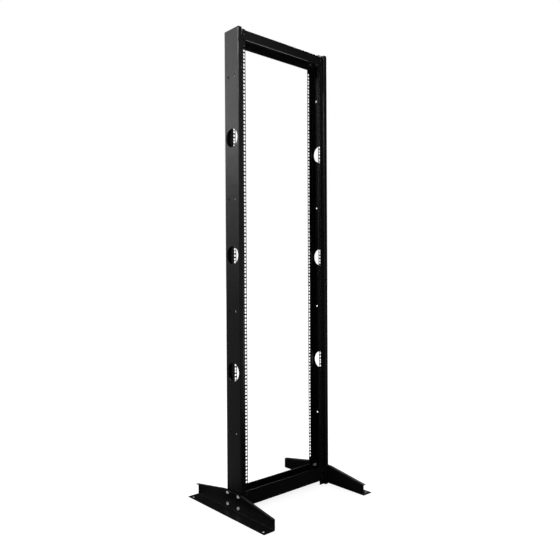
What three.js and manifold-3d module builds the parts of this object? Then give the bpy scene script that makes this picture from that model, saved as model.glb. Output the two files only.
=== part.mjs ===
// A two-post open relay rack for 19-inch equipment: two stepped channel posts with square holes,
// two overlapping angle bars at the top and two at the bottom, two long feet, and the fasteners.
// Millimetres, +Z up. X runs across the rack, Y from the front to the rear, and the origin is the
// middle of its footprint on the floor.
import * as THREE from "three";
import { mergeVertices } from "three/addons/utils/BufferGeometryUtils.js";
import Module from "manifold-3d";

const wasm = await Module();
wasm.setup();

// Equipment mounting pattern
const rackUnit = 44.45;
const unitHoleShares = [1 / 7, 1 / 2, 6 / 7];
const patternBase = 121;
const squareHole = 9.5;
const openingWidth = 450.85;
const holeInset = 7.125;
const railSpacing = 76.2;

// Posts
const rackHeight = 2104;
const postFloorGap = 1;
const postSheet = 2.5;
const postBend = 3;
const railWidth = 26.4;
const faceRecess = 12.7;
const lipWidth = 22.3;
const cableHole = 80;
const cableHoleShares = [11 / 43, 22.5 / 43, 34 / 43];
const lacingHole = 9;
const lacingSpacing = 45;
const lacingHoleShares = [5 / 43, 17 / 43, 28 / 43, 40 / 43];

// Crossbars: a front and a rear angle, the rear one's plate under the front one's
const barSheet = 4.8;
const barBend = 5.4;
const barPlateWidth = 50.8;
const barEndGap = 3;
const barPlateEndGap = 1;
const topBarHeight = 44.45;
const topBarDrop = 3;
const bottomBarHeight = 69.85;
const bottomBarBase = 20;

// Feet
const footLength = 546;
const footSheet = 3;
const footBend = 4;
const footBaseWidth = 59;
const footMiddleHeight = 87;
const footEndHeight = 51;
const footFlatLength = 112;
const footLipWidth = 13;
const anchorHole = 11;
const anchorEndInset = 22;
const anchorEdgeInset = 15;

// Foot bolts, with the washer and nut inside the post
const footBoltDiameter = 8;
const footBoltClearance = 1;
const footBoltSpread = 76.2;
const footBoltBaseGap = 9.5;
const footBoltLipGap = 3.7;
const footBoltHeadAcross = 13;
const footBoltHeadHeight = 5.3;
const footBoltOverhang = 3;
const footWasherDiameter = 16;
const footWasherThickness = 1.6;
const footNutAcross = 13;
const footNutHeight = 6.8;

// Crossbar screws, with a nut behind the post's face
const barScrewDiameter = 6;
const barScrewClearance = 0.6;
const barScrewHeadDiameter = 12;
const barScrewHeadHeight = 2.6;
const barScrewCrownShare = 0.6;
const barScrewOverhang = 1.5;
const barNutAcross = 10;
const barNutHeight = 5;
const bottomBarScrewShares = [0.24, 0.76];
const topBarScrewShares = [0.5];

// Clearances and how finely the round shapes are divided
const seatGap = 0.3;
const cutOverrun = 2;
const joinOverlap = 2;
const bendSteps = 3;
const cableHoleSides = 32;
const lacingHoleSides = 12;
const anchorHoleSides = 16;
const boltSides = 12;
const screwSides = 10;
const washerSides = 18;
const screwHeadSides = 14;
const hexSides = 6;

// Places worked out from the sizes above
const barStep = barSheet + seatGap;
const topBarBase = rackHeight - topBarDrop - topBarHeight;
const unitCount = Math.floor((topBarBase - barStep - patternBase) / rackUnit);
const patternHeight = unitCount * rackUnit;
const railEdge = openingWidth / 2;
const holeColumn = railEdge + holeInset;
const jogFace = railEdge + railWidth;
const webFace = jogFace + lipWidth;
const railFace = railSpacing / 2;
const lipFace = railFace + faceRecess;
const footInner = webFace + seatGap;
const footOuter = footInner + footSheet;
const barFace = railFace + seatGap + barSheet;
const barScrewColumn = (railEdge + jogFace) / 2;
const footBoltHeights = [
  footSheet + footBend + footBoltBaseGap + footBoltHeadAcross / 2,
  footMiddleHeight - footSheet - footBoltLipGap - footBoltHeadAcross / 2,
];
const footBoltHole = footBoltDiameter + footBoltClearance;
const barScrewHole = barScrewDiameter + barScrewClearance;
const bars = {
  top: { base: topBarBase, height: topBarHeight, screwShares: topBarScrewShares, plateAbove: true },
  bottom: {
    base: bottomBarBase,
    height: bottomBarHeight,
    screwShares: bottomBarScrewShares,
    plateAbove: false,
  },
};
const sides = { left: -1, right: 1 };
const ends = { front: -1, rear: 1 };

// Materials: black powder coat, bright zinc and black zinc
const powderCoat = new THREE.MeshStandardMaterial({ color: 0x17181a, roughness: 0.55, metalness: 0.0 });
const brightZinc = new THREE.MeshStandardMaterial({ color: 0xb9bcc0, roughness: 0.32, metalness: 1.0 });
const blackZinc = new THREE.MeshStandardMaterial({ color: 0x1c1d1f, roughness: 0.4, metalness: 0.7 });

// A closed geometry as a solid that can be cut and joined.
function solidOf(geometry) {
  const bare = geometry.index ? geometry.toNonIndexed() : geometry.clone();
  bare.deleteAttribute("normal");
  bare.deleteAttribute("uv");
  const merged = mergeVertices(bare);
  return new wasm.Manifold(
    new wasm.Mesh({
      numProp: 3,
      vertProperties: new Float32Array(merged.attributes.position.array),
      triVerts: new Uint32Array(merged.index.array),
    }),
  );
}

// A solid as a geometry with flat faces.
function geometryOf(solid) {
  const mesh = solid.getMesh();
  const geometry = new THREE.BufferGeometry();
  geometry.setAttribute("position", new THREE.BufferAttribute(new Float32Array(mesh.vertProperties), 3));
  geometry.setIndex(new THREE.BufferAttribute(new Uint32Array(mesh.triVerts), 1));
  const flat = geometry.toNonIndexed();
  flat.computeVertexNormals();
  return flat;
}

// A block between two corners, given in any order.
function block(from, to) {
  const size = from.map((value, i) => Math.abs(to[i] - value));
  const middle = from.map((value, i) => (value + to[i]) / 2);
  return solidOf(new THREE.BoxGeometry(...size).translate(...middle));
}

// A round or many-sided bar along x or y, around a centre.
function rod(diameter, length, sides, axis, centre) {
  const geometry = new THREE.CylinderGeometry(diameter / 2, diameter / 2, length, sides);
  if (axis === "x") geometry.rotateZ(Math.PI / 2);
  if (axis === "z") geometry.rotateX(Math.PI / 2);
  return solidOf(geometry.translate(...centre));
}

// A flat outline pushed along +Z.
function prism(points, length) {
  const shape = new THREE.Shape(points.map(([x, y]) => new THREE.Vector2(x, y)));
  return new THREE.ExtrudeGeometry(shape, { depth: length, bevelEnabled: false });
}

// An outline in y and z pushed along x, from one place to another.
function alongX(points, from, to) {
  return prism(points, to - from)
    .rotateX(Math.PI / 2)
    .rotateZ(Math.PI / 2)
    .translate(from, 0, 0);
}

// The outline of a bent sheet whose outer face follows the given corners. The sheet lies on the
// left of the path, and the middle of the sheet turns each corner on the given radius.
function bentSheet(corners, sheet, radius) {
  const path = corners.map(([x, y]) => new THREE.Vector2(x, y));
  const outer = [];
  const inner = [];
  path.forEach((corner, i) => {
    if (i === 0 || i === path.length - 1) {
      const along = i === 0 ? path[1].clone().sub(corner) : corner.clone().sub(path[i - 1]);
      along.normalize();
      outer.push([corner.x, corner.y]);
      inner.push([corner.x - along.y * sheet, corner.y + along.x * sheet]);
      return;
    }
    const before = corner.clone().sub(path[i - 1]).normalize();
    const after = path[i + 1].clone().sub(corner).normalize();
    const turn = Math.atan2(before.cross(after), before.dot(after));
    const side = Math.sign(turn);
    // The outer face is on the outside of a left turn and on the inside of a right turn.
    const faceRadius = radius + (side * sheet) / 2;
    const reach = faceRadius * Math.tan(Math.abs(turn) / 2);
    const centreX = corner.x - before.x * reach - before.y * faceRadius * side;
    const centreY = corner.y - before.y * reach + before.x * faceRadius * side;
    for (let step = 0; step <= bendSteps; step++) {
      const angle = (turn * step) / bendSteps;
      const outX = (before.y * Math.cos(angle) + before.x * Math.sin(angle)) * side;
      const outY = (-before.x * Math.cos(angle) + before.y * Math.sin(angle)) * side;
      outer.push([centreX + outX * faceRadius, centreY + outY * faceRadius]);
      const innerRadius = faceRadius - side * sheet;
      inner.push([centreX + outX * innerRadius, centreY + outY * innerRadius]);
    }
  });
  return outer.concat(inner.reverse());
}

// The right post stands on the +X side and the left one is its mirror image.
function mirrored(solid, side) {
  return side > 0 ? solid : solid.mirror([1, 0, 0]);
}

// A post: stepped channel with its equipment faces set back from its front and rear lips.
function postSolid(side) {
  const corners = [
    [railEdge, -railFace],
    [jogFace, -railFace],
    [jogFace, -lipFace],
    [webFace, -lipFace],
    [webFace, lipFace],
    [jogFace, lipFace],
    [jogFace, railFace],
    [railEdge, railFace],
  ];
  const outline = bentSheet(corners, postSheet, postBend);
  const profile = prism(outline, rackHeight - postFloorGap).translate(0, 0, postFloorGap);
  const cuts = [];
  for (let unit = 0; unit < unitCount; unit++) {
    for (const share of unitHoleShares) {
      const z = patternBase + (unit + share) * rackUnit;
      for (const face of [-railFace, railFace]) {
        const inward = face - Math.sign(face) * (postSheet + cutOverrun);
        const outward = face + Math.sign(face) * cutOverrun;
        cuts.push(
          block(
            [holeColumn - squareHole / 2, inward, z - squareHole / 2],
            [holeColumn + squareHole / 2, outward, z + squareHole / 2],
          ),
        );
      }
    }
  }
  const webCut = postSheet + cutOverrun * 2;
  const webMiddle = webFace - postSheet / 2;
  for (const share of cableHoleShares) {
    const z = patternBase + share * patternHeight;
    cuts.push(rod(cableHole, webCut, cableHoleSides, "x", [webMiddle, 0, z]));
  }
  for (const share of lacingHoleShares) {
    const z = patternBase + share * patternHeight;
    for (const y of [-lacingSpacing / 2, lacingSpacing / 2]) {
      cuts.push(rod(lacingHole, webCut, lacingHoleSides, "x", [webMiddle, y, z]));
    }
  }
  for (const z of footBoltHeights) {
    for (const y of [-footBoltSpread / 2, footBoltSpread / 2]) {
      cuts.push(rod(footBoltHole, webCut, boltSides, "x", [webMiddle, y, z]));
    }
  }
  for (const bar of Object.values(bars)) {
    for (const end of Object.values(ends)) {
      const y = end * (railFace - postSheet / 2);
      for (const z of screwHeights(bar, end)) {
        cuts.push(rod(barScrewHole, webCut, screwSides, "y", [barScrewColumn, y, z]));
      }
    }
  }
  return mirrored(solidOf(profile).subtract(wasm.Manifold.union(cuts)), side);
}

// The floor-side edge of a bar's front or rear angle.
function angleBase(bar, end) {
  return end > 0 ? bar.base - barStep : bar.base;
}

// The heights of the screws in one ear of a bar's front or rear angle.
function screwHeights(bar, end) {
  return bar.screwShares.map((share) => angleBase(bar, end) + bar.height * share);
}

// An angle of a crossbar: its upright leg runs on as ears over the equipment faces, and its plate
// fits between the posts, at the top of the upper bar and at the bottom of the lower one.
function angleSolid(bar, end) {
  const ear = jogFace - barEndGap;
  const plateEdge = railEdge - barPlateEndGap;
  const corners = [
    [-barFace, bar.height],
    [-barFace, 0],
    [barPlateWidth - barFace, 0],
  ];
  let angle = solidOf(alongX(bentSheet(corners, barSheet, barBend), -ear, ear));
  for (const side of Object.values(sides)) {
    const notch = block(
      [side * plateEdge, barSheet - barFace, -cutOverrun],
      [side * (ear + cutOverrun), barPlateWidth - barFace + cutOverrun, bar.height + cutOverrun],
    );
    angle = angle.subtract(notch);
  }
  if (bar.plateAbove) angle = angle.mirror([0, 0, 1]).translate([0, 0, bar.height]);
  if (end > 0) angle = angle.mirror([0, 1, 0]);
  angle = angle.translate([0, 0, angleBase(bar, end)]);
  for (const side of Object.values(sides)) {
    for (const z of screwHeights(bar, end)) {
      const centre = [side * barScrewColumn, end * (barFace - barSheet / 2), z];
      angle = angle.subtract(rod(barScrewHole, barSheet + cutOverrun * 2, screwSides, "y", centre));
    }
  }
  return angle;
}

// A foot: a plate bolted to the outside of its post, bent outward into a wide base along the floor
// and into a narrow lip along its top, which falls from the middle to both ends.
function footSolid(side) {
  const half = footLength / 2;
  const flat = footFlatLength / 2;
  const top = [
    [-half, footEndHeight],
    [-flat, footMiddleHeight],
    [flat, footMiddleHeight],
    [half, footEndHeight],
  ];
  const baseRoom = footBend + footSheet;
  const web = [[-half, baseRoom], ...top, [half, baseRoom]];
  // The lip keeps the sheet's thickness on the level and on the falling stretches.
  const fall = Math.atan2(footMiddleHeight - footEndHeight, half - flat);
  const endUnder = footEndHeight - footSheet / Math.cos(fall);
  const flatUnder = flat - footSheet * Math.tan(fall / 2);
  const under = [
    [half, endUnder],
    [flatUnder, footMiddleHeight - footSheet],
    [-flatUnder, footMiddleHeight - footSheet],
    [-half, endUnder],
  ];
  const lip = solidOf(alongX([...top, ...under], footInner, footOuter + footLipWidth));
  const plate = solidOf(alongX(web, footInner, footOuter));
  const baseCorners = [
    [footInner, baseRoom + joinOverlap],
    [footInner, 0],
    [footInner + footBaseWidth, 0],
  ];
  const base = solidOf(
    prism(bentSheet(baseCorners, footSheet, footBend), footLength)
      .rotateX(Math.PI / 2)
      .translate(0, half, 0),
  );
  const cuts = [];
  for (const z of footBoltHeights) {
    for (const y of [-footBoltSpread / 2, footBoltSpread / 2]) {
      const length = footSheet + cutOverrun * 2;
      cuts.push(rod(footBoltHole, length, boltSides, "x", [footInner + footSheet / 2, y, z]));
    }
  }
  for (const y of [-half + anchorEndInset, half - anchorEndInset]) {
    const x = footInner + footBaseWidth - anchorEdgeInset;
    cuts.push(rod(anchorHole, footSheet + cutOverrun * 2, anchorHoleSides, "z", [x, y, footSheet / 2]));
  }
  const whole = wasm.Manifold.union([lip, plate, base]);
  return mirrored(whole.subtract(wasm.Manifold.union(cuts)), side);
}

// A disc from the origin along +x, one side of it facing up, its far end narrower by a share.
function disc(diameter, thickness, sides, endShare = 1) {
  return solidOf(
    new THREE.CylinderGeometry(diameter / 2, (diameter * endShare) / 2, thickness, sides)
      .rotateZ(Math.PI / 2)
      .rotateX(Math.PI / sides)
      .translate(thickness / 2, 0, 0),
  );
}

// A bolt or screw along +x, its head's underside at the origin and its shank on the inner side.
function fastenerSolid(head, shankDiameter, shankLength, shankSides) {
  const shankCentre = [(joinOverlap - shankLength) / 2, 0, 0];
  return head.add(rod(shankDiameter, shankLength + joinOverlap, shankSides, "x", shankCentre));
}

// A washer or nut from the origin along +x, with room for its bolt.
function ringSolid(diameter, thickness, sides, boltDiameter) {
  const boreLength = thickness + cutOverrun * 2;
  const boreDiameter = boltDiameter + seatGap * 2;
  const bore = rod(boreDiameter, boreLength, boltSides, "x", [thickness / 2, 0, 0]);
  return disc(diameter, thickness, sides).subtract(bore);
}

// The corner-to-corner size of a hexagon, from its size across the flats.
function hexDiameter(across) {
  return across / Math.cos(Math.PI / hexSides);
}

const rack = new THREE.Group();

function addMesh(name, geometry, material, parent = rack) {
  const mesh = new THREE.Mesh(geometry, material);
  mesh.name = name;
  parent.add(mesh);
  return mesh;
}

for (const [sideName, side] of Object.entries(sides)) {
  addMesh(`${sideName}_post`, geometryOf(postSolid(side)), powderCoat);
  addMesh(`${sideName}_foot`, geometryOf(footSolid(side)), powderCoat);
}
for (const [barName, bar] of Object.entries(bars)) {
  for (const [endName, end] of Object.entries(ends)) {
    addMesh(`${barName}_${endName}_angle`, geometryOf(angleSolid(bar, end)), powderCoat);
  }
}

// Foot bolts: head outside the foot, washer and nut inside the post.
const boltSeat = footOuter + seatGap;
const washerFace = webFace - postSheet - seatGap - footWasherThickness;
const nutFace = washerFace - seatGap - footNutHeight;
const boltEnd = nutFace - footBoltOverhang;
const boltHead = disc(hexDiameter(footBoltHeadAcross), footBoltHeadHeight, hexSides);
const boltGeometry = geometryOf(
  fastenerSolid(boltHead, footBoltDiameter, boltSeat - boltEnd, boltSides),
);
const washerGeometry = geometryOf(
  ringSolid(footWasherDiameter, footWasherThickness, washerSides, footBoltDiameter),
);
const nutGeometry = geometryOf(
  ringSolid(hexDiameter(footNutAcross), footNutHeight, hexSides, footBoltDiameter),
);

for (const [sideName, side] of Object.entries(sides)) {
  for (const [endName, end] of Object.entries(ends)) {
    footBoltHeights.forEach((z, level) => {
      const place = `${sideName}_${endName}_${level === 0 ? "lower" : "upper"}`;
      const bolted = new THREE.Group();
      bolted.position.set(0, (end * footBoltSpread) / 2, z);
      bolted.rotation.z = side > 0 ? 0 : Math.PI;
      rack.add(bolted);
      addMesh(`foot_bolt_${place}`, boltGeometry, brightZinc, bolted).position.x = boltSeat;
      addMesh(`foot_washer_${place}`, washerGeometry, brightZinc, bolted).position.x = washerFace;
      addMesh(`foot_nut_${place}`, nutGeometry, brightZinc, bolted).position.x = nutFace;
    });
  }
}

// Crossbar screws: low round head on the ear, nut behind the post's face.
const screwSeat = barFace + seatGap;
const screwNutFace = railFace - postSheet - seatGap - barNutHeight;
const screwEnd = screwNutFace - barScrewOverhang;
const screwHead = disc(barScrewHeadDiameter, barScrewHeadHeight, screwHeadSides, barScrewCrownShare);
const screwGeometry = geometryOf(
  fastenerSolid(screwHead, barScrewDiameter, screwSeat - screwEnd, screwSides),
);
const screwNutGeometry = geometryOf(
  ringSolid(hexDiameter(barNutAcross), barNutHeight, hexSides, barScrewDiameter),
);

for (const [barName, bar] of Object.entries(bars)) {
  for (const [sideName, side] of Object.entries(sides)) {
    for (const [endName, end] of Object.entries(ends)) {
      screwHeights(bar, end).forEach((z, row) => {
        const place = `${barName}_${sideName}_${endName}_${row + 1}`;
        const screwed = new THREE.Group();
        screwed.position.set(side * barScrewColumn, 0, z);
        screwed.rotation.z = (end * Math.PI) / 2;
        rack.add(screwed);
        addMesh(`angle_screw_${place}`, screwGeometry, blackZinc, screwed).position.x = screwSeat;
        addMesh(`angle_nut_${place}`, screwNutGeometry, blackZinc, screwed).position.x = screwNutFace;
      });
    }
  }
}

export default rack;
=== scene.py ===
import math

import bmesh
import bpy
from mathutils import Matrix, Vector


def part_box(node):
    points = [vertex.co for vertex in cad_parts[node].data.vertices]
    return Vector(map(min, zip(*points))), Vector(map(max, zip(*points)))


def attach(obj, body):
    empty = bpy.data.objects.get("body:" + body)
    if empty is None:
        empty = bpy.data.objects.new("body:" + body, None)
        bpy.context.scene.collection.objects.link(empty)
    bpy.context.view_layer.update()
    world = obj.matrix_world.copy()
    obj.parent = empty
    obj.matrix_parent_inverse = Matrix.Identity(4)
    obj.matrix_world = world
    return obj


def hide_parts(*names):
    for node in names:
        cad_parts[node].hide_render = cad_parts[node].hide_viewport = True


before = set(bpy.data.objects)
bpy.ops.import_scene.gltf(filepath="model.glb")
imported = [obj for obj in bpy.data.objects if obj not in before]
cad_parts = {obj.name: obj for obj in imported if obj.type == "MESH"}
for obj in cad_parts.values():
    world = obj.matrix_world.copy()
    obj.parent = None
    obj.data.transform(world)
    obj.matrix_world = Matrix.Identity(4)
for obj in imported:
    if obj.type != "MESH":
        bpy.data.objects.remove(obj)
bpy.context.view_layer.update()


# Camera and studio
# The rack stands on a pale floor in a plain white studio. The camera looks at its front left
# from a little under half its height.
MM = 0.001
sensor_width = 36.0
lens_length = 37.583
view_depth = 100.0
camera_place = (-1.8240, -2.0405, 1.0419)
camera_yaw, camera_pitch, camera_roll = (math.radians(a) for a in (41.85, -0.667, -0.308))

camera = bpy.data.objects.new("camera", bpy.data.cameras.new("camera"))
bpy.context.scene.collection.objects.link(camera)
bpy.context.scene.camera = camera
camera.data.sensor_width = sensor_width
camera.data.lens = lens_length
camera.data.clip_end = view_depth
ahead = Vector((
    math.sin(camera_yaw) * math.cos(camera_pitch),
    math.cos(camera_yaw) * math.cos(camera_pitch),
    math.sin(camera_pitch),
))
level_right = Vector((math.cos(camera_yaw), -math.sin(camera_yaw), 0.0))
level_up = level_right.cross(ahead)
right = level_right * math.cos(camera_roll) + level_up * math.sin(camera_roll)
up = level_up * math.cos(camera_roll) - level_right * math.sin(camera_roll)
camera.matrix_world = (
    Matrix.Translation(camera_place) @ Matrix((right, up, -ahead)).transposed().to_4x4()
)
bpy.context.scene.view_settings.view_transform = "Standard"


class Wire:
    """An output of a node. Arithmetic on wires adds Math nodes to their tree."""

    def __init__(self, graph, socket):
        self.graph, self.socket = graph, socket

    def also(self, output):
        """Another output of the same node."""
        return Wire(self.graph, self.socket.node.outputs[output])

    def __add__(self, other):
        return self.graph.math("ADD", self, other)

    def __sub__(self, other):
        return self.graph.math("SUBTRACT", self, other)

    def __rsub__(self, other):
        return self.graph.math("SUBTRACT", other, self)

    def __mul__(self, other):
        return self.graph.math("MULTIPLY", self, other)

    def __truediv__(self, other):
        return self.graph.math("DIVIDE", self, other)

    def __rtruediv__(self, other):
        return self.graph.math("DIVIDE", other, self)

    __radd__, __rmul__ = __add__, __mul__


class Graph:
    """A tree of nodes, for a material, the world or a shape."""

    def __init__(self, tree):
        self.tree = tree
        tree.nodes.clear()

    def add(self, kind, settings=None, sockets=None, output=0):
        """Adds a node: its settings first, then a value or a wire for each socket."""
        node = self.tree.nodes.new(kind)
        for name, value in (settings or {}).items():
            setattr(node, name, value)
        for name, value in (sockets or {}).items():
            if isinstance(value, Wire):
                self.tree.links.new(value.socket, node.inputs[name])
            else:
                node.inputs[name].default_value = value
        return Wire(self, node.outputs[output]) if node.outputs else node

    def math(self, operation, *values):
        """A Math node on numbers and wires."""
        return self.add("ShaderNodeMath", {"operation": operation}, dict(enumerate(values)))

    def vector(self, operation, *values, output="Vector"):
        """A Vector Math node on vectors and wires."""
        settings = {"operation": operation}
        return self.add("ShaderNodeVectorMath", settings, dict(enumerate(values)), output)

    def along(self, vector, way):
        """How far a vector reaches along a direction."""
        return self.vector("DOT_PRODUCT", vector, way, output="Value")

    def blend(self, share, first, second):
        """A colour between two others."""
        settings = {"data_type": "RGBA"}
        return self.add("ShaderNodeMix", settings, {0: share, 6: first, 7: second}, output=2)


def stepped(wire, low, high, out_low=0.0, out_high=1.0):
    """A smooth step of a value from one level to another."""
    settings = {"interpolation_type": "SMOOTHSTEP"}
    sockets = {0: wire, 1: low, 2: high, 3: out_low, 4: out_high}
    return wire.graph.add("ShaderNodeMapRange", settings, sockets)


# White paper hangs behind the rack, turned to the camera, in a room with dim walls. The edges
# are soft: each is a pair of reaches along a direction, where the step starts and where it ends.
paper_turn = math.radians(39.0)
paper_across = (math.cos(paper_turn), -math.sin(paper_turn), 0.0)
paper_behind = (math.sin(paper_turn), math.cos(paper_turn), 0.0)
room_left, room_front, room_up = (-1.0, 0.0, 0.0), (0.0, -1.0, 0.0), (0.0, 0.0, 1.0)
paper_left_edge, paper_right_edge, paper_near_edge = (-0.08, -0.03), (0.0, 0.11), (0.15, 0.3)
side_wall_edge, rear_wall_edge, front_wall_edge = (0.97, 0.995), (0.93, 0.98), (0.88, 0.95)
left_wall_start, left_wall_end = (0.2, 0.5), (0.61, 0.73)
wall_level, front_wall_level, left_wall_levels = 0.34, 0.25, (0.19, 0.02)
dusk_level = 0.012


def mirrored_level(graph, place, paper_level, paper_end, far_room, left_room):
    """What a gloss shows in one direction: the paper behind the rack and the room's walls."""
    level_way = graph.vector("NORMALIZE", graph.vector("MULTIPLY", place, (1.0, 1.0, 0.0)))
    across, behind = graph.along(level_way, paper_across), graph.along(level_way, paper_behind)
    left, front = graph.along(level_way, room_left), graph.along(level_way, room_front)
    paper = stepped(across, *paper_left_edge) * stepped(across, *paper_right_edge, 1.0, paper_end)
    paper = paper * stepped(behind, *paper_near_edge)
    side_walls = stepped(graph.math("ABSOLUTE", left), *side_wall_edge, 0.0, wall_level)
    rear_wall = stepped(front * -1.0, *rear_wall_edge, 0.0, wall_level)
    front_wall = stepped(front, *front_wall_edge, 0.0, front_wall_level)
    left_wall = stepped(left, *left_wall_start) * stepped(left, *left_wall_end, *left_wall_levels)
    far_walls = (front_wall + side_walls + rear_wall) * far_room
    return paper * paper_level + left_wall * left_room + far_walls + dusk_level


world = bpy.data.worlds.new("studio")
world.use_nodes = True
bpy.context.scene.world = world
studio = Graph(world.node_tree)
direction = studio.add("ShaderNodeTexCoord", output="Generated")
seen = studio.add("ShaderNodeLightPath", output="Is Camera Ray")
mirrored_ray, through_ray = seen.also("Is Glossy Ray"), seen.also("Is Transmission Ray")
height = studio.along(direction, room_up)
mirrored = mirrored_level(
    studio, direction, paper_level=stepped(height, 0.0, 0.4, 0.30, 0.05), paper_end=0.5,
    far_room=stepped(height, -0.2, 0.0), left_room=1.0,
)
shown = studio.math("MAXIMUM", seen, through_ray)
plain_level = stepped(height, 0.0, 0.7, 0.90, 0.45)
lighting = mirrored_ray * mirrored + (1.0 - mirrored_ray) * plain_level
studio.add("ShaderNodeOutputWorld", sockets={
    0: studio.add("ShaderNodeBackground", sockets={"Color": shown + (1.0 - shown) * lighting}),
})

floor_reach = 30.0
left_post_foot = (-0.27, 0.0, 0.0)
shadow_white, far_white = 0.86, 1.0
shadow_paint = (0.35, 0.35, 0.35, 1.0)
white = (1.0, 1.0, 1.0, 1.0)

floor_mesh = bpy.data.meshes.new("floor")
floor_mesh.from_pydata(
    [(x * floor_reach, y * floor_reach, 0.0) for x, y in ((-1, -1), (1, -1), (1, 1), (-1, 1))],
    [], [(0, 1, 2, 3)],
)
floor = bpy.data.objects.new("floor", floor_mesh)
bpy.context.scene.collection.objects.link(floor)
floor_paint = bpy.data.materials.new("floor_white")
floor_paint.use_nodes = True
paint = Graph(floor_paint.node_tree)
straight = paint.add("ShaderNodeLightPath", output="Is Camera Ray")
spot = paint.add("ShaderNodeTexCoord", output="Object")
spot = paint.vector("SUBTRACT", spot, left_post_foot)
away = paint.vector("LENGTH", spot, output="Value")
# For glossy rays the floor glows with levels of the paper and the room's walls, reckoned from the
# left post's foot. Within about half a metre of the rack the glow fades to dark: this is painted
# shadow of the rack on the floor, not light that reaches it. Farther out the paper glows brighter
# than white.
room_glow_with_painted_shadow = paint.add("ShaderNodeEmission", sockets={"Color": mirrored_level(
    paint, spot, paper_level=stepped(away, 1.5, 4.0, 0.0, 2.6), paper_end=0.4,
    far_room=stepped(away, 1.0, 5.0), left_room=stepped(away, 0.20, 0.42),
)})
matt = paint.add("ShaderNodeBsdfDiffuse", sockets={"Color": white})
ground = paint.add("ShaderNodeMixShader", sockets={
    0: straight.also("Is Glossy Ray"), 1: matt, 2: room_glow_with_painted_shadow,
})
lifted = paint.add("ShaderNodeEmission", sockets={
    "Color": stepped(away, 3.0, 12.0, shadow_white, far_white),
})
faint = paint.add("ShaderNodeBsdfDiffuse", sockets={"Color": shadow_paint})
white_ground = paint.add("ShaderNodeAddShader", sockets={0: lifted, 1: faint})
paint.add("ShaderNodeOutputMaterial", sockets={
    0: paint.add("ShaderNodeMixShader", sockets={0: straight, 1: ground, 2: white_ground}),
})
floor_mesh.materials.append(floor_paint)


def softbox(name, place, aim, size, power, spread=180.0):
    """A rectangular studio lamp that faces a point. A small spread narrows its beam."""
    lamp = bpy.data.lights.new(name, "AREA")
    lamp.shape, lamp.energy = "RECTANGLE", power
    lamp.size, lamp.size_y = size
    lamp.spread = math.radians(spread)
    holder = bpy.data.objects.new(name, lamp)
    bpy.context.scene.collection.objects.link(holder)
    holder.location = place
    holder.rotation_euler = (Vector(aim) - Vector(place)).to_track_quat("-Z", "Y").to_euler()


softbox("softbox_left", place=(-4.73, 6.0, 5.25), aim=(-0.27, 0.0, 3.8),
        size=(1.2, 4.8), power=4.4, spread=45.0)
softbox("softbox_right", place=(2.6, 0.8, 3.6), aim=(0.0, 0.0, 0.3),
        size=(1.3, 1.3), power=70.0)
softbox("softbox_left_low", place=(-4.73, 6.0, 2.1), aim=(-0.27, 0.0, 2.8),
        size=(1.2, 1.6), power=0.38, spread=34.0)
softbox("softbox_side", place=(-3.9, 1.0, 3.9), aim=(-0.3, 0.0, 2.2),
        size=(0.7, 1.0), power=8.0, spread=40.0)
softbox("softbox_near", place=(0.73, -1.31, 1.45), aim=(-0.26, -0.05, 1.45),
        size=(0.32, 2.8), power=1.0)
softbox("softbox_front", place=(-0.6, -3.5, 3.4), aim=(0.0, 0.0, 1.0),
        size=(1.0, 1.0), power=9.0)
softbox("softbox_low", place=(-1.0, -1.5, 0.5), aim=(-0.2, 0.0, 2.1),
        size=(0.6, 0.3), power=1.9, spread=40.0)


# Feet
# Each foot is one steel plate folded to a channel: a wide base flange on the floor with an
# anchor hole near each end, and a narrow lip along the top that falls from the post to both
# ends. It is powder coated black and bolted to the post's outer side.
foot_low, foot_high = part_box("right_foot")
foot_sheet = 3.0 * MM
foot_bend = 4.0 * MM
foot_rounding = 0.7 * MM
foot_end_height = 51.0 * MM
foot_flat_length = 112.0 * MM
foot_lip_width = 13.0 * MM
foot_end_inset = 0.19 * MM
knee, knee_steps = 5.0 * MM, 3
anchor_hole = 11.0 * MM
anchor_end_inset, anchor_edge_inset = 22.0 * MM, 15.0 * MM
foot_bolt_hole = 9.0 * MM
foot_bolt_spread = 76.2 * MM
foot_bolt_heights = (23.0 * MM, 73.8 * MM)
foot_hole_sides = 32
bend_steps = 8
broken_edge, edge_steps = 0.35 * MM, 3
sheared_angle, bend_angle = math.radians(60.0), math.radians(35.0)
punch_reach = 1.5 * MM


def powder_coat():
    """Satin black powder coat: a fine orange peel over a deep black, with an even soft gloss."""
    material = bpy.data.materials.new("black_powder_coat")
    material.use_nodes = True
    coat = Graph(material.node_tree)
    place = coat.add("ShaderNodeTexCoord", output="Object")
    peel = coat.add("ShaderNodeTexNoise", sockets={
        "Vector": place, "Scale": 900.0, "Detail": 2.0, "Roughness": 0.55,
    })
    grit = coat.add("ShaderNodeTexNoise", sockets={
        "Vector": place, "Scale": 3200.0, "Detail": 1.0, "Roughness": 0.5,
    })
    cloud = coat.add("ShaderNodeTexNoise", sockets={
        "Vector": place, "Scale": 6.0, "Detail": 4.0, "Roughness": 0.6,
    })
    deep_black, pale_black = (0.0019, 0.0019, 0.0020, 1.0), (0.0026, 0.0026, 0.0027, 1.0)
    shine_low, shine_high, grit_shine = 0.28, 0.31, 0.06
    relief = coat.add("ShaderNodeBump", sockets={
        "Strength": 0.6, "Distance": 0.12 * MM, "Height": peel + grit * 0.5,
    })
    surface = coat.add("ShaderNodeBsdfPrincipled", sockets={
        "Base Color": coat.blend(stepped(cloud, 0.3, 0.7), deep_black, pale_black),
        "Roughness": stepped(cloud, 0.25, 0.75, shine_low, shine_high) + (grit - 0.5) * grit_shine,
        "Specular IOR Level": 0.5, "Normal": relief,
    })
    coat.add("ShaderNodeOutputMaterial", sockets={0: surface})
    return material


coat_material = powder_coat()
scraps = []


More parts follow.
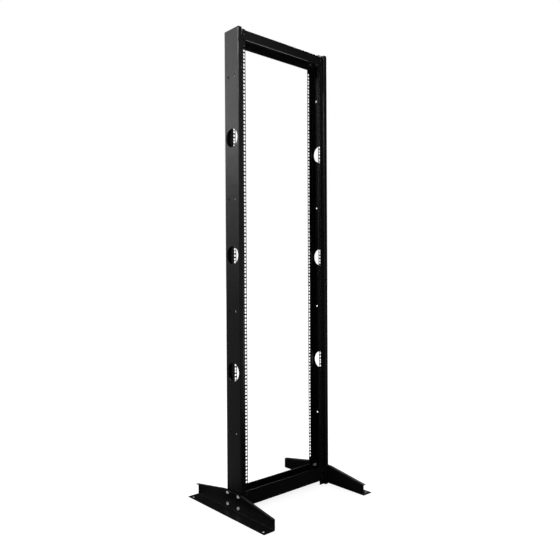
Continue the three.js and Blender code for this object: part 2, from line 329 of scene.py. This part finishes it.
def blank(name, vertices, edges=(), faces=()):
    """A bare mesh to work from. It is thrown away once the pieces are finished."""
    mesh = bpy.data.meshes.new(name)
    mesh.from_pydata([Vector(v) for v in vertices], list(edges), list(faces))
    piece = bpy.data.objects.new(name, mesh)
    bpy.context.scene.collection.objects.link(piece)
    piece.hide_render = True
    scraps.append(piece)
    return piece


def named_input(graph, name, kind="NodeSocketFloat"):
    """A named input of a shape's tree."""
    graph.tree.interface.new_socket(name=name, in_out="INPUT", socket_type=kind)
    group = next((n for n in graph.tree.nodes if n.bl_idname == "NodeGroupInput"), None)
    group = group or graph.tree.nodes.new("NodeGroupInput")
    return Wire(graph, group.outputs[name])


def shape_tree(name):
    """An empty tree for a shape, with a geometry input and output."""
    tree = bpy.data.node_groups.new(name, "GeometryNodeTree")
    graph = Graph(tree)
    tree.interface.new_socket(
        name="Geometry", in_out="OUTPUT", socket_type="NodeSocketGeometry",
    )
    return graph, named_input(graph, "Geometry", "NodeSocketGeometry")


def made_of(graph, shape, material):
    """Ends a shape's tree: single pieces become one mesh of one material."""
    whole = graph.add("GeometryNodeRealizeInstances", sockets={"Geometry": shape})
    coated = graph.add("GeometryNodeSetMaterial", sockets={"Geometry": whole, "Material": material})
    graph.add("NodeGroupOutput", sockets={"Geometry": coated})
    return graph.tree


def apply_tree(piece, tree, **values):
    """Puts a shape's tree on a piece as a modifier and sets its named inputs."""
    modifier = piece.modifiers.new(tree.name, "NODES")
    modifier.node_group = tree
    for item in tree.interface.items_tree:
        key = item.name.lower().replace(" ", "_")
        if item.in_out == "INPUT" and key in values:
            modifier[item.identifier] = values[key]


def thicken(piece, sheet, rounding):
    """Gives a thin sheet its thickness and rounds its sheared edges."""
    wall = piece.modifiers.new("sheet", "SOLIDIFY")
    wall.thickness, wall.offset, wall.use_even_offset = sheet, 0.0, True
    edge = piece.modifiers.new("broken_edges", "BEVEL")
    edge.width, edge.segments = rounding, edge_steps
    edge.limit_method, edge.angle_limit = "ANGLE", sheared_angle


# A punch goes through the sheet at each of a row of centres.
press, sheet_in = shape_tree("punched_holes")
punch_object = named_input(press, "Punch", "NodeSocketObject")
centres_object = named_input(press, "Centres", "NodeSocketObject")
press_material = named_input(press, "Material", "NodeSocketMaterial")
strokes = press.add("GeometryNodeInstanceOnPoints", sockets={
    "Points": press.add(
        "GeometryNodeObjectInfo", sockets={"Object": centres_object}, output="Geometry",
    ),
    "Instance": press.add(
        "GeometryNodeObjectInfo", sockets={"Object": punch_object}, output="Geometry",
    ),
})
strokes = press.add("GeometryNodeRealizeInstances", sockets={"Geometry": strokes})
pierced = press.add(
    "GeometryNodeMeshBoolean", {"operation": "DIFFERENCE", "solver": "EXACT"},
    {"Mesh 1": sheet_in, "Mesh 2": strokes},
)
punched_holes = made_of(press, pierced, press_material)


def punch(name, outline, sheet, axis):
    """A punch along an axis: straight through the sheet, and flared to break the hole's edges."""
    levels = (
        (-sheet / 2 - punch_reach, broken_edge + punch_reach), (-sheet / 2 + broken_edge, 0.0),
        (sheet / 2 - broken_edge, 0.0), (sheet / 2 + punch_reach, broken_edge + punch_reach),
    )
    across = {"x": (1, 2, 0), "y": (2, 0, 1), "z": (0, 1, 2)}[axis]
    vertices = []
    for depth, flare in levels:
        for point in outline:
            grown = Vector(point) * (1.0 + flare / Vector(point).length)
            place = Vector((0.0, 0.0, 0.0))
            place[across[0]], place[across[1]], place[across[2]] = grown.x, grown.y, depth
            vertices.append(place)
    count = len(outline)
    faces = [tuple(reversed(range(count))), tuple(range(3 * count, 4 * count))]
    for start in (0, count, 2 * count):
        for i in range(count):
            j = (i + 1) % count
            faces.append((start + i, start + j, start + count + j, start + count + i))
    return blank(name, vertices, faces=faces)


def circle(diameter, sides):
    """The outline of a round hole."""
    turns = (2.0 * math.pi * (i + 0.5) / sides for i in range(sides))
    return [(diameter / 2 * math.cos(t), diameter / 2 * math.sin(t)) for t in turns]


def pierce(piece, tool, centres):
    """Punches a piece with a tool at each centre."""
    marks = blank(tool.name + "_marks", centres)
    apply_tree(piece, punched_holes, punch=tool, centres=marks, material=coat_material)


def settled(piece, name, material, mirrored=False):
    """The piece with its modifiers taken into one plain mesh, or the mirror image of that."""
    bpy.context.view_layer.update()
    graph = bpy.context.evaluated_depsgraph_get()
    mesh = bpy.data.meshes.new_from_object(piece.evaluated_get(graph))
    mesh.name = name
    if mirrored:
        mesh.transform(Matrix.Scale(-1.0, 4, Vector((1.0, 0.0, 0.0))))
        mesh.flip_normals()
    mesh.materials.clear()
    mesh.materials.append(material)
    for face in mesh.polygons:
        face.material_index = 0
    result = bpy.data.objects.new(name, mesh)
    bpy.context.scene.collection.objects.link(result)
    return result


def smoothed(piece, limit=bend_angle):
    """Shades the bends of a piece round and its flat faces flat."""
    piece.data.shade_smooth()
    piece.data.set_sharp_from_angle(angle=limit)
    weighted = piece.modifiers.new("flat_faces", "WEIGHTED_NORMAL")
    weighted.keep_sharp = True
    weighted.weight = 100


def finish_steel(source, name, node, mirrored=False):
    """Finishes a coated steel piece and sets it in its node's place."""
    piece = settled(source, name, coat_material, mirrored)
    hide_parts(node)
    smoothed(piece)
    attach(piece, "root")


half_foot_sheet = foot_sheet / 2
flat_end = foot_flat_length / 2
fall = (foot_high.z - foot_end_height) / (foot_high.y - flat_end)


def foot_height(y):
    """The height of the foot's top, its corners eased by the knee's length."""
    past = abs(y) - flat_end
    if past <= -knee:
        return foot_high.z
    if past >= knee:
        return foot_high.z - fall * past
    return foot_high.z - fall * (past + knee) ** 2 / (4 * knee)


stations = [foot_low.y + foot_end_inset]
for corner in (-flat_end, flat_end):
    stations += [corner + knee * k / knee_steps for k in range(-knee_steps, knee_steps + 1)]
stations.append(foot_high.y - foot_end_inset)
inner = foot_low.x + half_foot_sheet
quarter_turns = [math.pi / 2 * i / bend_steps for i in range(bend_steps + 1)]
foot_vertices = []
for y in stations:
    top = foot_height(y) - half_foot_sheet
    section = [(foot_high.x, half_foot_sheet)]
    section += [
        (inner + foot_bend * (1 - math.sin(t)), half_foot_sheet + foot_bend * (1 - math.cos(t)))
        for t in quarter_turns
    ]
    section += [
        (inner + foot_bend * (1 - math.cos(t)), top - foot_bend * (1 - math.sin(t)))
        for t in quarter_turns
    ]
    section.append((foot_low.x + foot_sheet + foot_lip_width, top))
    foot_vertices += [(x, y, z) for x, z in section]
width = len(section)
foot_faces = [
    (s * width + i, s * width + i + 1, (s + 1) * width + i + 1, (s + 1) * width + i)
    for s in range(len(stations) - 1) for i in range(width - 1)
]
foot_blank = blank("foot_blank", foot_vertices, faces=foot_faces)
thicken(foot_blank, foot_sheet, foot_rounding)
bolt_punch = punch("bolt_punch", circle(foot_bolt_hole, foot_hole_sides), foot_sheet, "x")
foot_bolt_places = [
    (y, z) for z in foot_bolt_heights for y in (-foot_bolt_spread / 2, foot_bolt_spread / 2)
]
pierce(foot_blank, bolt_punch, [(inner, y, z) for y, z in foot_bolt_places])
anchor_punch = punch("anchor_punch", circle(anchor_hole, foot_hole_sides), foot_sheet, "z")
pierce(foot_blank, anchor_punch, [
    (foot_high.x - anchor_edge_inset, y, half_foot_sheet)
    for y in (foot_low.y + anchor_end_inset, foot_high.y - anchor_end_inset)
])
finish_steel(foot_blank, "right_foot_sheet", "right_foot")
finish_steel(foot_blank, "left_foot_sheet", "left_foot", mirrored=True)


# Posts
# Each post is one length of sheet steel, punched flat with square equipment holes, large cable
# holes and small lacing holes, folded into a stepped channel and powder coated black.
post_low, post_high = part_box("right_post")
post_sheet = 2.5 * MM
post_bend = 3.0 * MM
face_recess = 12.7 * MM
lip_width = 22.3 * MM
rack_unit = 44.45 * MM
unit_count = 43
holes_per_unit = 3
pattern_base = 121.0 * MM
first_hole_share, hole_step_share = 1 / 7, 5 / 14
hole_inset = 7.125 * MM
square_hole, square_corner = 9.5 * MM, 0.8 * MM
cable_hole, cable_hole_sides = 80.0 * MM, 96
cable_hole_units = (11, 22.5, 34)
lacing_hole, lacing_hole_sides = 9.0 * MM, 24
lacing_hole_units = (5, 17, 28, 40)
lacing_spacing = 45.0 * MM
ear_screw_hole, ear_screw_hole_sides = 6.6 * MM, 24
ear_screw_shares = {"top": (0.5,), "bottom": (0.24, 0.76)}
ends = {"front": -1, "rear": 1}
half_sheet = post_sheet / 2
jog_face = post_high.x - lip_width
rail_face = post_high.y - face_recess
rail_middle = rail_face - half_sheet
web_middle = post_high.x - half_sheet
ear_screw_column = (post_low.x + jog_face) / 2

# The sheet's middle line is folded at each corner and drawn out along the piece.
fold, line = shape_tree("folded_sheet")
bend = named_input(fold, "Bend")
steps = named_input(fold, "Steps", "NodeSocketInt")
run = named_input(fold, "Run", "NodeSocketVector")
fold_material = named_input(fold, "Material", "NodeSocketMaterial")
flat_line = fold.add("GeometryNodeMeshToCurve", sockets={0: line})
bent_line = fold.add(
    "GeometryNodeFilletCurve", {"mode": "POLY"},
    {"Curve": flat_line, "Count": steps, "Radius": bend},
)
thin_line = fold.add("GeometryNodeCurveToMesh", sockets={0: bent_line})
thin_sheet = fold.add(
    "GeometryNodeExtrudeMesh", {"mode": "EDGES"},
    {"Mesh": thin_line, "Offset": run, "Offset Scale": 1.0},
)
folded_sheet = made_of(fold, thin_sheet, fold_material)

# The square holes follow the rack unit: three to each unit, at fixed shares of its height.
rule, _ = shape_tree("unit_marks")
units = named_input(rule, "Units", "NodeSocketInt")
pitch = named_input(rule, "Pitch")
first_share = named_input(rule, "First Share")
step_share = named_input(rule, "Step Share")
column = named_input(rule, "Column")
face_place = named_input(rule, "Face")
base_place = named_input(rule, "Base")
index = rule.add("GeometryNodeInputIndex")
unit_row = rule.math("FLOOR", index / holes_per_unit)
share = first_share + (index - unit_row * holes_per_unit) * step_share
hole_height = base_place + (unit_row + share) * pitch
hole_place = rule.add(
    "ShaderNodeCombineXYZ", sockets={"X": column, "Y": face_place, "Z": hole_height},
)
marks = rule.add("GeometryNodeMeshLine", sockets={"Count": units * holes_per_unit})
marks = rule.add("GeometryNodeSetPosition", sockets={"Geometry": marks, "Position": hole_place})
rule.add("NodeGroupOutput", sockets={"Geometry": marks})


def rounded_square(size, corner, sides=3):
    """The outline of a square hole with slightly rounded corners."""
    points = []
    inset = size / 2 - corner
    for quarter in range(4):
        start = quarter * math.pi / 2
        middle = start + math.pi / 4
        x, y = math.copysign(inset, math.cos(middle)), math.copysign(inset, math.sin(middle))
        for i in range(sides):
            turn = start + math.pi / 2 * i / (sides - 1)
            points.append((x + corner * math.cos(turn), y + corner * math.sin(turn)))
    return points


middle_line = [
    (post_low.x, -rail_middle),
    (jog_face + half_sheet, -rail_middle),
    (jog_face + half_sheet, half_sheet - post_high.y),
    (web_middle, half_sheet - post_high.y),
]
middle_line += [(x, -y) for x, y in reversed(middle_line)]
post_blank = blank(
    "post_blank",
    [(x, y, post_low.z) for x, y in middle_line],
    [(i, i + 1) for i in range(len(middle_line) - 1)],
)
apply_tree(
    post_blank, folded_sheet, bend=post_bend, steps=bend_steps,
    run=(0.0, 0.0, post_high.z - post_low.z), material=coat_material,
)
thicken(post_blank, post_sheet, broken_edge)
square_punch = punch("square_punch", rounded_square(square_hole, square_corner), post_sheet, "y")
for end in ends.values():
    square_marks = blank("square_marks", [(0.0, 0.0, 0.0)])
    apply_tree(
        square_marks, rule.tree, units=unit_count, pitch=rack_unit,
        first_share=first_hole_share, step_share=hole_step_share,
        column=post_low.x + hole_inset, face=end * rail_middle, base=pattern_base,
    )
    apply_tree(
        post_blank, punched_holes, punch=square_punch, centres=square_marks,
        material=coat_material,
    )
pierce(post_blank, punch("cable_punch", circle(cable_hole, cable_hole_sides), post_sheet, "x"), [
    (web_middle, 0.0, pattern_base + u * rack_unit) for u in cable_hole_units
])
lacing_punch = punch("lacing_punch", circle(lacing_hole, lacing_hole_sides), post_sheet, "x")
pierce(post_blank, lacing_punch, [
    (web_middle, y, pattern_base + u * rack_unit)
    for u in lacing_hole_units for y in (-lacing_spacing / 2, lacing_spacing / 2)
])
pierce(post_blank, bolt_punch, [(web_middle, y, z) for y, z in foot_bolt_places])

# The crossbars' ears are screwed on at shares of their height.
ear_screw_heights = {}
for bar, shares in ear_screw_shares.items():
    for end_name in ends:
        low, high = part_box(f"{bar}_{end_name}_angle")
        ear_screw_heights[bar, end_name] = [low.z + (high.z - low.z) * share for share in shares]
screw_outline = circle(ear_screw_hole, ear_screw_hole_sides)
pierce(post_blank, punch("ear_punch", screw_outline, post_sheet, "y"), [
    (ear_screw_column, ends[end_name] * rail_middle, z)
    for (_, end_name), heights in ear_screw_heights.items() for z in heights
])
finish_steel(post_blank, "right_post_sheet", "right_post")
finish_steel(post_blank, "left_post_sheet", "left_post", mirrored=True)


# Crossbars
# Each crossbar is a front and a rear steel angle, powder coated black. Their upright legs run on
# as ears over the posts' equipment faces, and their plates lap over each other between the posts.
bar_sheet = 4.8 * MM
bar_bend = 5.4 * MM
bar_rounding = 1.1 * MM
bar_plate_gap = 1.0 * MM
notch_length, notch_past_plate, notch_past_leg = 60.0 * MM, 5.0 * MM, 4.0 * MM

for bar, plate_side in (("top", 1), ("bottom", -1)):
    for end_name, end in ends.items():
        low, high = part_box(f"{bar}_{end_name}_angle")
        leg_middle = (high.y if end > 0 else low.y) - end * bar_sheet / 2
        plate_edge = low.y if end > 0 else high.y
        leg_edge = low.z if plate_side > 0 else high.z
        plate_middle = (high.z if plate_side > 0 else low.z) - plate_side * bar_sheet / 2
        angle = blank(
            f"{bar}_{end_name}_blank",
            [(low.x, leg_middle, leg_edge), (low.x, leg_middle, plate_middle),
             (low.x, plate_edge, plate_middle)],
            [(0, 1), (1, 2)],
        )
        apply_tree(
            angle, folded_sheet, bend=bar_bend, steps=bend_steps,
            run=(high.x - low.x, 0.0, 0.0), material=coat_material,
        )
        thicken(angle, bar_sheet, bar_rounding)
        cut_from = leg_middle - end * bar_sheet / 2
        cut_to = plate_edge - end * notch_past_plate
        notch_size = (notch_length, abs(cut_to - cut_from), high.z - low.z + notch_past_leg)
        notch = blank("notch", [])
        shape = bmesh.new()
        bmesh.ops.create_cube(shape, size=1.0)
        bmesh.ops.scale(shape, verts=shape.verts, vec=notch_size)
        shape.to_mesh(notch.data)
        shape.free()
        notch_x = post_low.x - bar_plate_gap + notch_length / 2
        notch_y, notch_z = (cut_from + cut_to) / 2, (low.z + high.z) / 2
        pierce(angle, notch, [(s * notch_x, notch_y, notch_z) for s in (-1, 1)])
        pierce(angle, punch("screw_punch", screw_outline, bar_sheet, "y"), [
            (s * ear_screw_column, leg_middle, z)
            for z in ear_screw_heights[bar, end_name] for s in (-1, 1)
        ])
        finish_steel(angle, f"{bar}_{end_name}_angle_bar", f"{bar}_{end_name}_angle")


# Bolts, screws, washers and nuts
# Foot bolts are bright zinc hexagon bolts with a washer and nut inside the post. The angles'
# screws are low pan heads with a cross recess, in black zinc, with hexagon nuts behind.
round_steps, screw_steps = 48, 40
face_share = 0.96
corner_slope = math.tan(math.radians(30.0))
root_share, shank_share = 0.90, 0.97
fastener_angle = math.radians(28.0)


def zinc(name, colour, other, metal, rough):
    """Zinc plate with faint patches and a fine brushed grain."""
    material = bpy.data.materials.new(name)
    material.use_nodes = True
    plate = Graph(material.node_tree)
    place = plate.add("ShaderNodeTexCoord", output="Object")
    patches = plate.add("ShaderNodeTexNoise", sockets={
        "Vector": place, "Scale": 260.0, "Detail": 3.0,
    })
    grain = plate.add("ShaderNodeTexNoise", sockets={
        "Vector": place, "Scale": 2600.0, "Detail": 2.0,
    })
    relief = plate.add("ShaderNodeBump", sockets={
        "Strength": 0.25, "Distance": 0.02 * MM, "Height": grain,
    })
    surface = plate.add("ShaderNodeBsdfPrincipled", sockets={
        "Base Color": plate.blend(stepped(patches, 0.35, 0.65), colour, other),
        "Metallic": metal, "Roughness": stepped(patches, 0.3, 0.7, rough, rough + 0.1),
        "Normal": relief,
    })
    plate.add("ShaderNodeOutputMaterial", sockets={0: surface})
    return material


bright_zinc = zinc(
    "bright_zinc", (0.86, 0.87, 0.88, 1.0), (0.92, 0.93, 0.94, 1.0), metal=0.35, rough=0.40,
)
black_zinc = zinc(
    "black_zinc", (0.010, 0.010, 0.011, 1.0), (0.017, 0.017, 0.018, 1.0), metal=0.3, rough=0.38,
)


def turned(name, rings, steps, hollow=False):
    """A turned piece along +X. Each ring is a distance and a radius, or a rule for them."""
    vertices = []
    for ring in rings:
        for i in range(steps):
            turn = 2.0 * math.pi * i / steps
            along, radius = ring(turn) if callable(ring) else ring
            vertices.append((along, radius * math.cos(turn), radius * math.sin(turn)))
    last = len(rings) - 1
    pairs = [(k, k + 1) for k in range(last)] + ([(last, 0)] if hollow else [])
    faces = [
        (first * steps + i, first * steps + j, second * steps + j, second * steps + i)
        for first, second in pairs for i, j in ((i, (i + 1) % steps) for i in range(steps))
    ]
    if not hollow:
        faces.append(tuple(reversed(range(steps))))
        faces.append(tuple(range(last * steps, (last + 1) * steps)))
    piece = blank(name, vertices, faces=faces)
    shape = bmesh.new()
    shape.from_mesh(piece.data)
    bmesh.ops.recalc_face_normals(shape, faces=shape.faces)
    shape.to_mesh(piece.data)
    shape.free()
    return piece


def hexagon(across, turn):
    """How far a hexagon's side is from its middle, in one direction. A flat side faces up."""
    from_flat = (turn % (math.pi / 3)) - math.pi / 6
    return across / 2 / math.cos(from_flat)


def hex_corner(across, along, way):
    """A ring at a hexagon's end, whose corners are turned off at 30 degrees."""
    def ring(turn):
        radius = hexagon(across, turn)
        return along - way * (radius - across / 2 * face_share) * corner_slope, radius
    return ring


def threaded(start, stop, radius, pitch):
    """The rings of a thread from one place to another."""
    rings = []
    count = max(1, int(abs(stop - start) / pitch))
    step = (stop - start) / count
    for k in range(count):
        rings.append((start + step * (k + 0.1), radius * root_share))
        rings.append((start + step * (k + 0.5), radius))
    return rings


def hex_nut(name, across, height, bore, mouths, sink):
    """A hexagon nut, its corners turned off and its bore opened at both ends."""
    seat_mouth, free_mouth = mouths
    round_face = across / 2 * face_share
    return turned(name, [
        (0.0, seat_mouth), (0.0, round_face), hex_corner(across, 0.0, -1),
        hex_corner(across, height, 1), (height, round_face),
        (height, free_mouth), (height - sink, bore), (sink, bore),
    ], round_steps, hollow=True)


# Each fastener is set at its places along its heading, turned a little on its own axis.
placing, _ = shape_tree("set_in_places")
model_in = named_input(placing, "Model", "NodeSocketObject")
places_in = named_input(placing, "Places", "NodeSocketObject")
seed_in = named_input(placing, "Seed", "NodeSocketInt")
slack_in = named_input(placing, "Slack")
placing_material = named_input(placing, "Material", "NodeSocketMaterial")
twist = placing.add(
    "FunctionNodeRandomValue", {"data_type": "FLOAT"},
    {2: slack_in * -1.0, 3: slack_in, "Seed": seed_in}, output=1,
)
facing = placing.add(
    "GeometryNodeInputNamedAttribute", {"data_type": "FLOAT"}, {"Name": "heading"},
)
spin = placing.add(
    "FunctionNodeAxisAngleToRotation", sockets={"Axis": (1.0, 0.0, 0.0), "Angle": twist},
)
swing = placing.add(
    "FunctionNodeAxisAngleToRotation", sockets={"Axis": (0.0, 0.0, 1.0), "Angle": facing},
)
set_pieces = placing.add("GeometryNodeInstanceOnPoints", sockets={
    "Points": placing.add(
        "GeometryNodeObjectInfo", sockets={"Object": places_in}, output="Geometry",
    ),
    "Instance": placing.add(
        "GeometryNodeObjectInfo", sockets={"Object": model_in}, output="Geometry",
    ),
    "Rotation": swing,
})
set_pieces = placing.add("GeometryNodeRotateInstances", sockets={
    "Instances": set_pieces, "Rotation": spin, "Local Space": True,
})
set_in_places = made_of(placing, set_pieces, placing_material)


def set_of(name, model, places, material, slack, seed, nodes):
    """One mesh of like fasteners. Each place is a point and the way its head faces."""
    marks = blank(name + "_places", [point for point, _ in places])
    headings = marks.data.attributes.new("heading", "FLOAT", "POINT")
    headings.data.foreach_set("value", [turn for _, turn in places])
    source = blank(name + "_source", [(0.0, 0.0, 0.0)])
    apply_tree(
        source, set_in_places, model=model, places=marks, seed=seed, slack=slack,
        material=material,
    )
    piece = settled(source, name, material)
    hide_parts(*nodes)
    smoothed(piece, fastener_angle)
    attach(piece, "root")


bolt_low, bolt_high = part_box("foot_bolt_right_front_lower")
bolt_radius, bolt_pitch = 4.0 * MM, 1.25 * MM
bolt_across, bolt_head = 13.0 * MM, 5.3 * MM
bolt_tip, bolt_tip_share, bolt_shoulder_share = 0.7 * MM, 0.78, 0.92
bolt_plain_part, bolt_collar = 6.0 * MM, 0.5 * MM
dish_share, dish_floor_share, dish_depth = 0.70, 0.62, 0.25 * MM
bolt_seat = bolt_high.x - bolt_head
bolt_end = bolt_low.x - bolt_seat
half_across = bolt_across / 2
foot_bolt = turned("foot_bolt", [
    (bolt_end, bolt_radius * bolt_tip_share),
    (bolt_end + bolt_tip, bolt_radius * bolt_shoulder_share),
    *threaded(bolt_end + bolt_tip + 0.1 * MM, -bolt_plain_part, bolt_radius, bolt_pitch),
    (0.4 * MM - bolt_plain_part, bolt_radius * shank_share),
    (-0.3 * MM, bolt_radius * shank_share),
    (0.0, half_across * 0.90), (bolt_collar, half_across * 0.94),
    lambda turn: (bolt_collar, hexagon(bolt_across, turn)),
    hex_corner(bolt_across, bolt_head, 1), (bolt_head, half_across * face_share),
    (bolt_head, half_across * dish_share),
    (bolt_head - dish_depth, half_across * dish_floor_share),
], round_steps)
nut_low, nut_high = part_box("foot_nut_right_front_lower")
foot_nut = hex_nut(
    "foot_nut", bolt_across, nut_high.x - nut_low.x,
    bore=4.15 * MM, mouths=(4.3 * MM, 4.7 * MM), sink=0.6 * MM,
)
washer_low, washer_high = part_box("foot_washer_right_front_lower")
washer_height = washer_high.x - washer_low.x
washer_bore, washer_radius = 4.4 * MM, 8.0 * MM
foot_washer = turned("foot_washer", [
    (0.0, washer_bore), (0.0, washer_radius - 0.4 * MM),
    (0.35 * MM, washer_radius - 0.05 * MM), (washer_height - 0.2 * MM, washer_radius),
    (washer_height, washer_radius - 0.2 * MM), (washer_height, washer_bore),
], round_steps, hollow=True)

foot_levels = dict(zip(("lower", "upper"), foot_bolt_heights))
sides = {"left": -1, "right": 1}
corners = [
    (side, end_name, level)
    for side in sides for end_name in ends for level in foot_levels
]
for part, model, seat, slack, seed in (
    ("foot_bolt", foot_bolt, bolt_seat, math.radians(14.0), 3),
    ("foot_washer", foot_washer, washer_low.x, math.pi, 5),
    ("foot_nut", foot_nut, nut_low.x, math.radians(30.0), 8),
):
    places = [
        ((sides[side] * seat, ends[end_name] * foot_bolt_spread / 2, foot_levels[level]),
         0.0 if sides[side] > 0 else math.pi)
        for side, end_name, level in corners
    ]
    nodes = [f"{part}_{side}_{end_name}_{level}" for side, end_name, level in corners]
    set_of(part + "s", model, places, bright_zinc, slack, seed, nodes)

screw_low, screw_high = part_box("angle_screw_top_right_rear_1")
screw_radius, screw_pitch = 3.0 * MM, 1.0 * MM
screw_head, screw_tip = 2.6 * MM, 0.5 * MM
screw_tip_share, screw_shoulder_share, screw_neck_share = 0.75, 0.90, 0.96
screw_end = screw_low.y - (screw_high.y - screw_head)
pan_dome = (
    (0.0, 5.8 * MM), (0.5 * MM, 6.0 * MM), (1.3 * MM, 5.8 * MM), (2.0 * MM, 5.0 * MM),
    (2.45 * MM, 3.7 * MM), (screw_head, 2.0 * MM), (screw_head, 0.6 * MM),
)
pan_head = turned("pan_head", [
    (screw_end, screw_radius * screw_tip_share),
    (screw_end + screw_tip, screw_radius * screw_shoulder_share),
    *threaded(screw_end + screw_tip + 0.1 * MM, -screw_pitch, screw_radius, screw_pitch),
    (0.0, screw_radius * screw_neck_share), *pan_dome,
], screw_steps)


def cross_section(reach, half_width):
    """The outline of a cross with four equal arms."""
    half = [
        (reach, half_width), (half_width, half_width), (half_width, reach),
        (-half_width, reach), (-half_width, half_width), (-reach, half_width),
    ]
    return half + [(-y, -z) for y, z in half]


# The cross recess narrows from the head's top to its floor, so its driver is drawn to taper.
recess_depth = 1.7 * MM
driver_rings = (
    (screw_head + recess_depth, 4.4 * MM, 0.85 * MM),
    (screw_head - recess_depth, 1.6 * MM, 0.50 * MM),
)
driver_vertices = [
    (along, y, z) for along, reach, half_width in driver_rings
    for y, z in cross_section(reach, half_width)
]
count = len(driver_vertices) // 2
driver = blank("driver", driver_vertices, faces=[
    tuple(range(count)), tuple(reversed(range(count, 2 * count))),
    *((i, count + i, count + (i + 1) % count, (i + 1) % count) for i in range(count)),
])
recess = pan_head.modifiers.new("recess", "BOOLEAN")
recess.operation, recess.solver, recess.object = "DIFFERENCE", "EXACT", driver
screw_nut_low, screw_nut_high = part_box("angle_nut_top_right_rear_1")
small_nut = hex_nut(
    "small_nut", 10.0 * MM, screw_nut_high.y - screw_nut_low.y,
    bore=3.15 * MM, mouths=(3.3 * MM, 3.5 * MM), sink=0.4 * MM,
)

ears = [
    (bar, side, end_name, row)
    for bar, shares in ear_screw_shares.items() for side in sides for end_name in ends
    for row in range(len(shares))
]
for part, model, slack, seed in (
    ("angle_screw", pan_head, math.pi, 11),
    ("angle_nut", small_nut, math.radians(30.0), 14),
):
    places, nodes = [], []
    for bar, side, end_name, row in ears:
        node = f"{part}_{bar}_{side}_{end_name}_{row + 1}"
        end = ends[end_name]
        low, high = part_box(node)
        outer, inner_end = (high.y, low.y) if end > 0 else (low.y, high.y)
        seat = outer - end * screw_head if part == "angle_screw" else inner_end
        places.append((((low.x + high.x) / 2, seat, (low.z + high.z) / 2), end * math.pi / 2))
        nodes.append(node)
    set_of(part + "s", model, places, black_zinc, slack, seed, nodes)

for scrap in scraps:
    bpy.data.objects.remove(scrap)
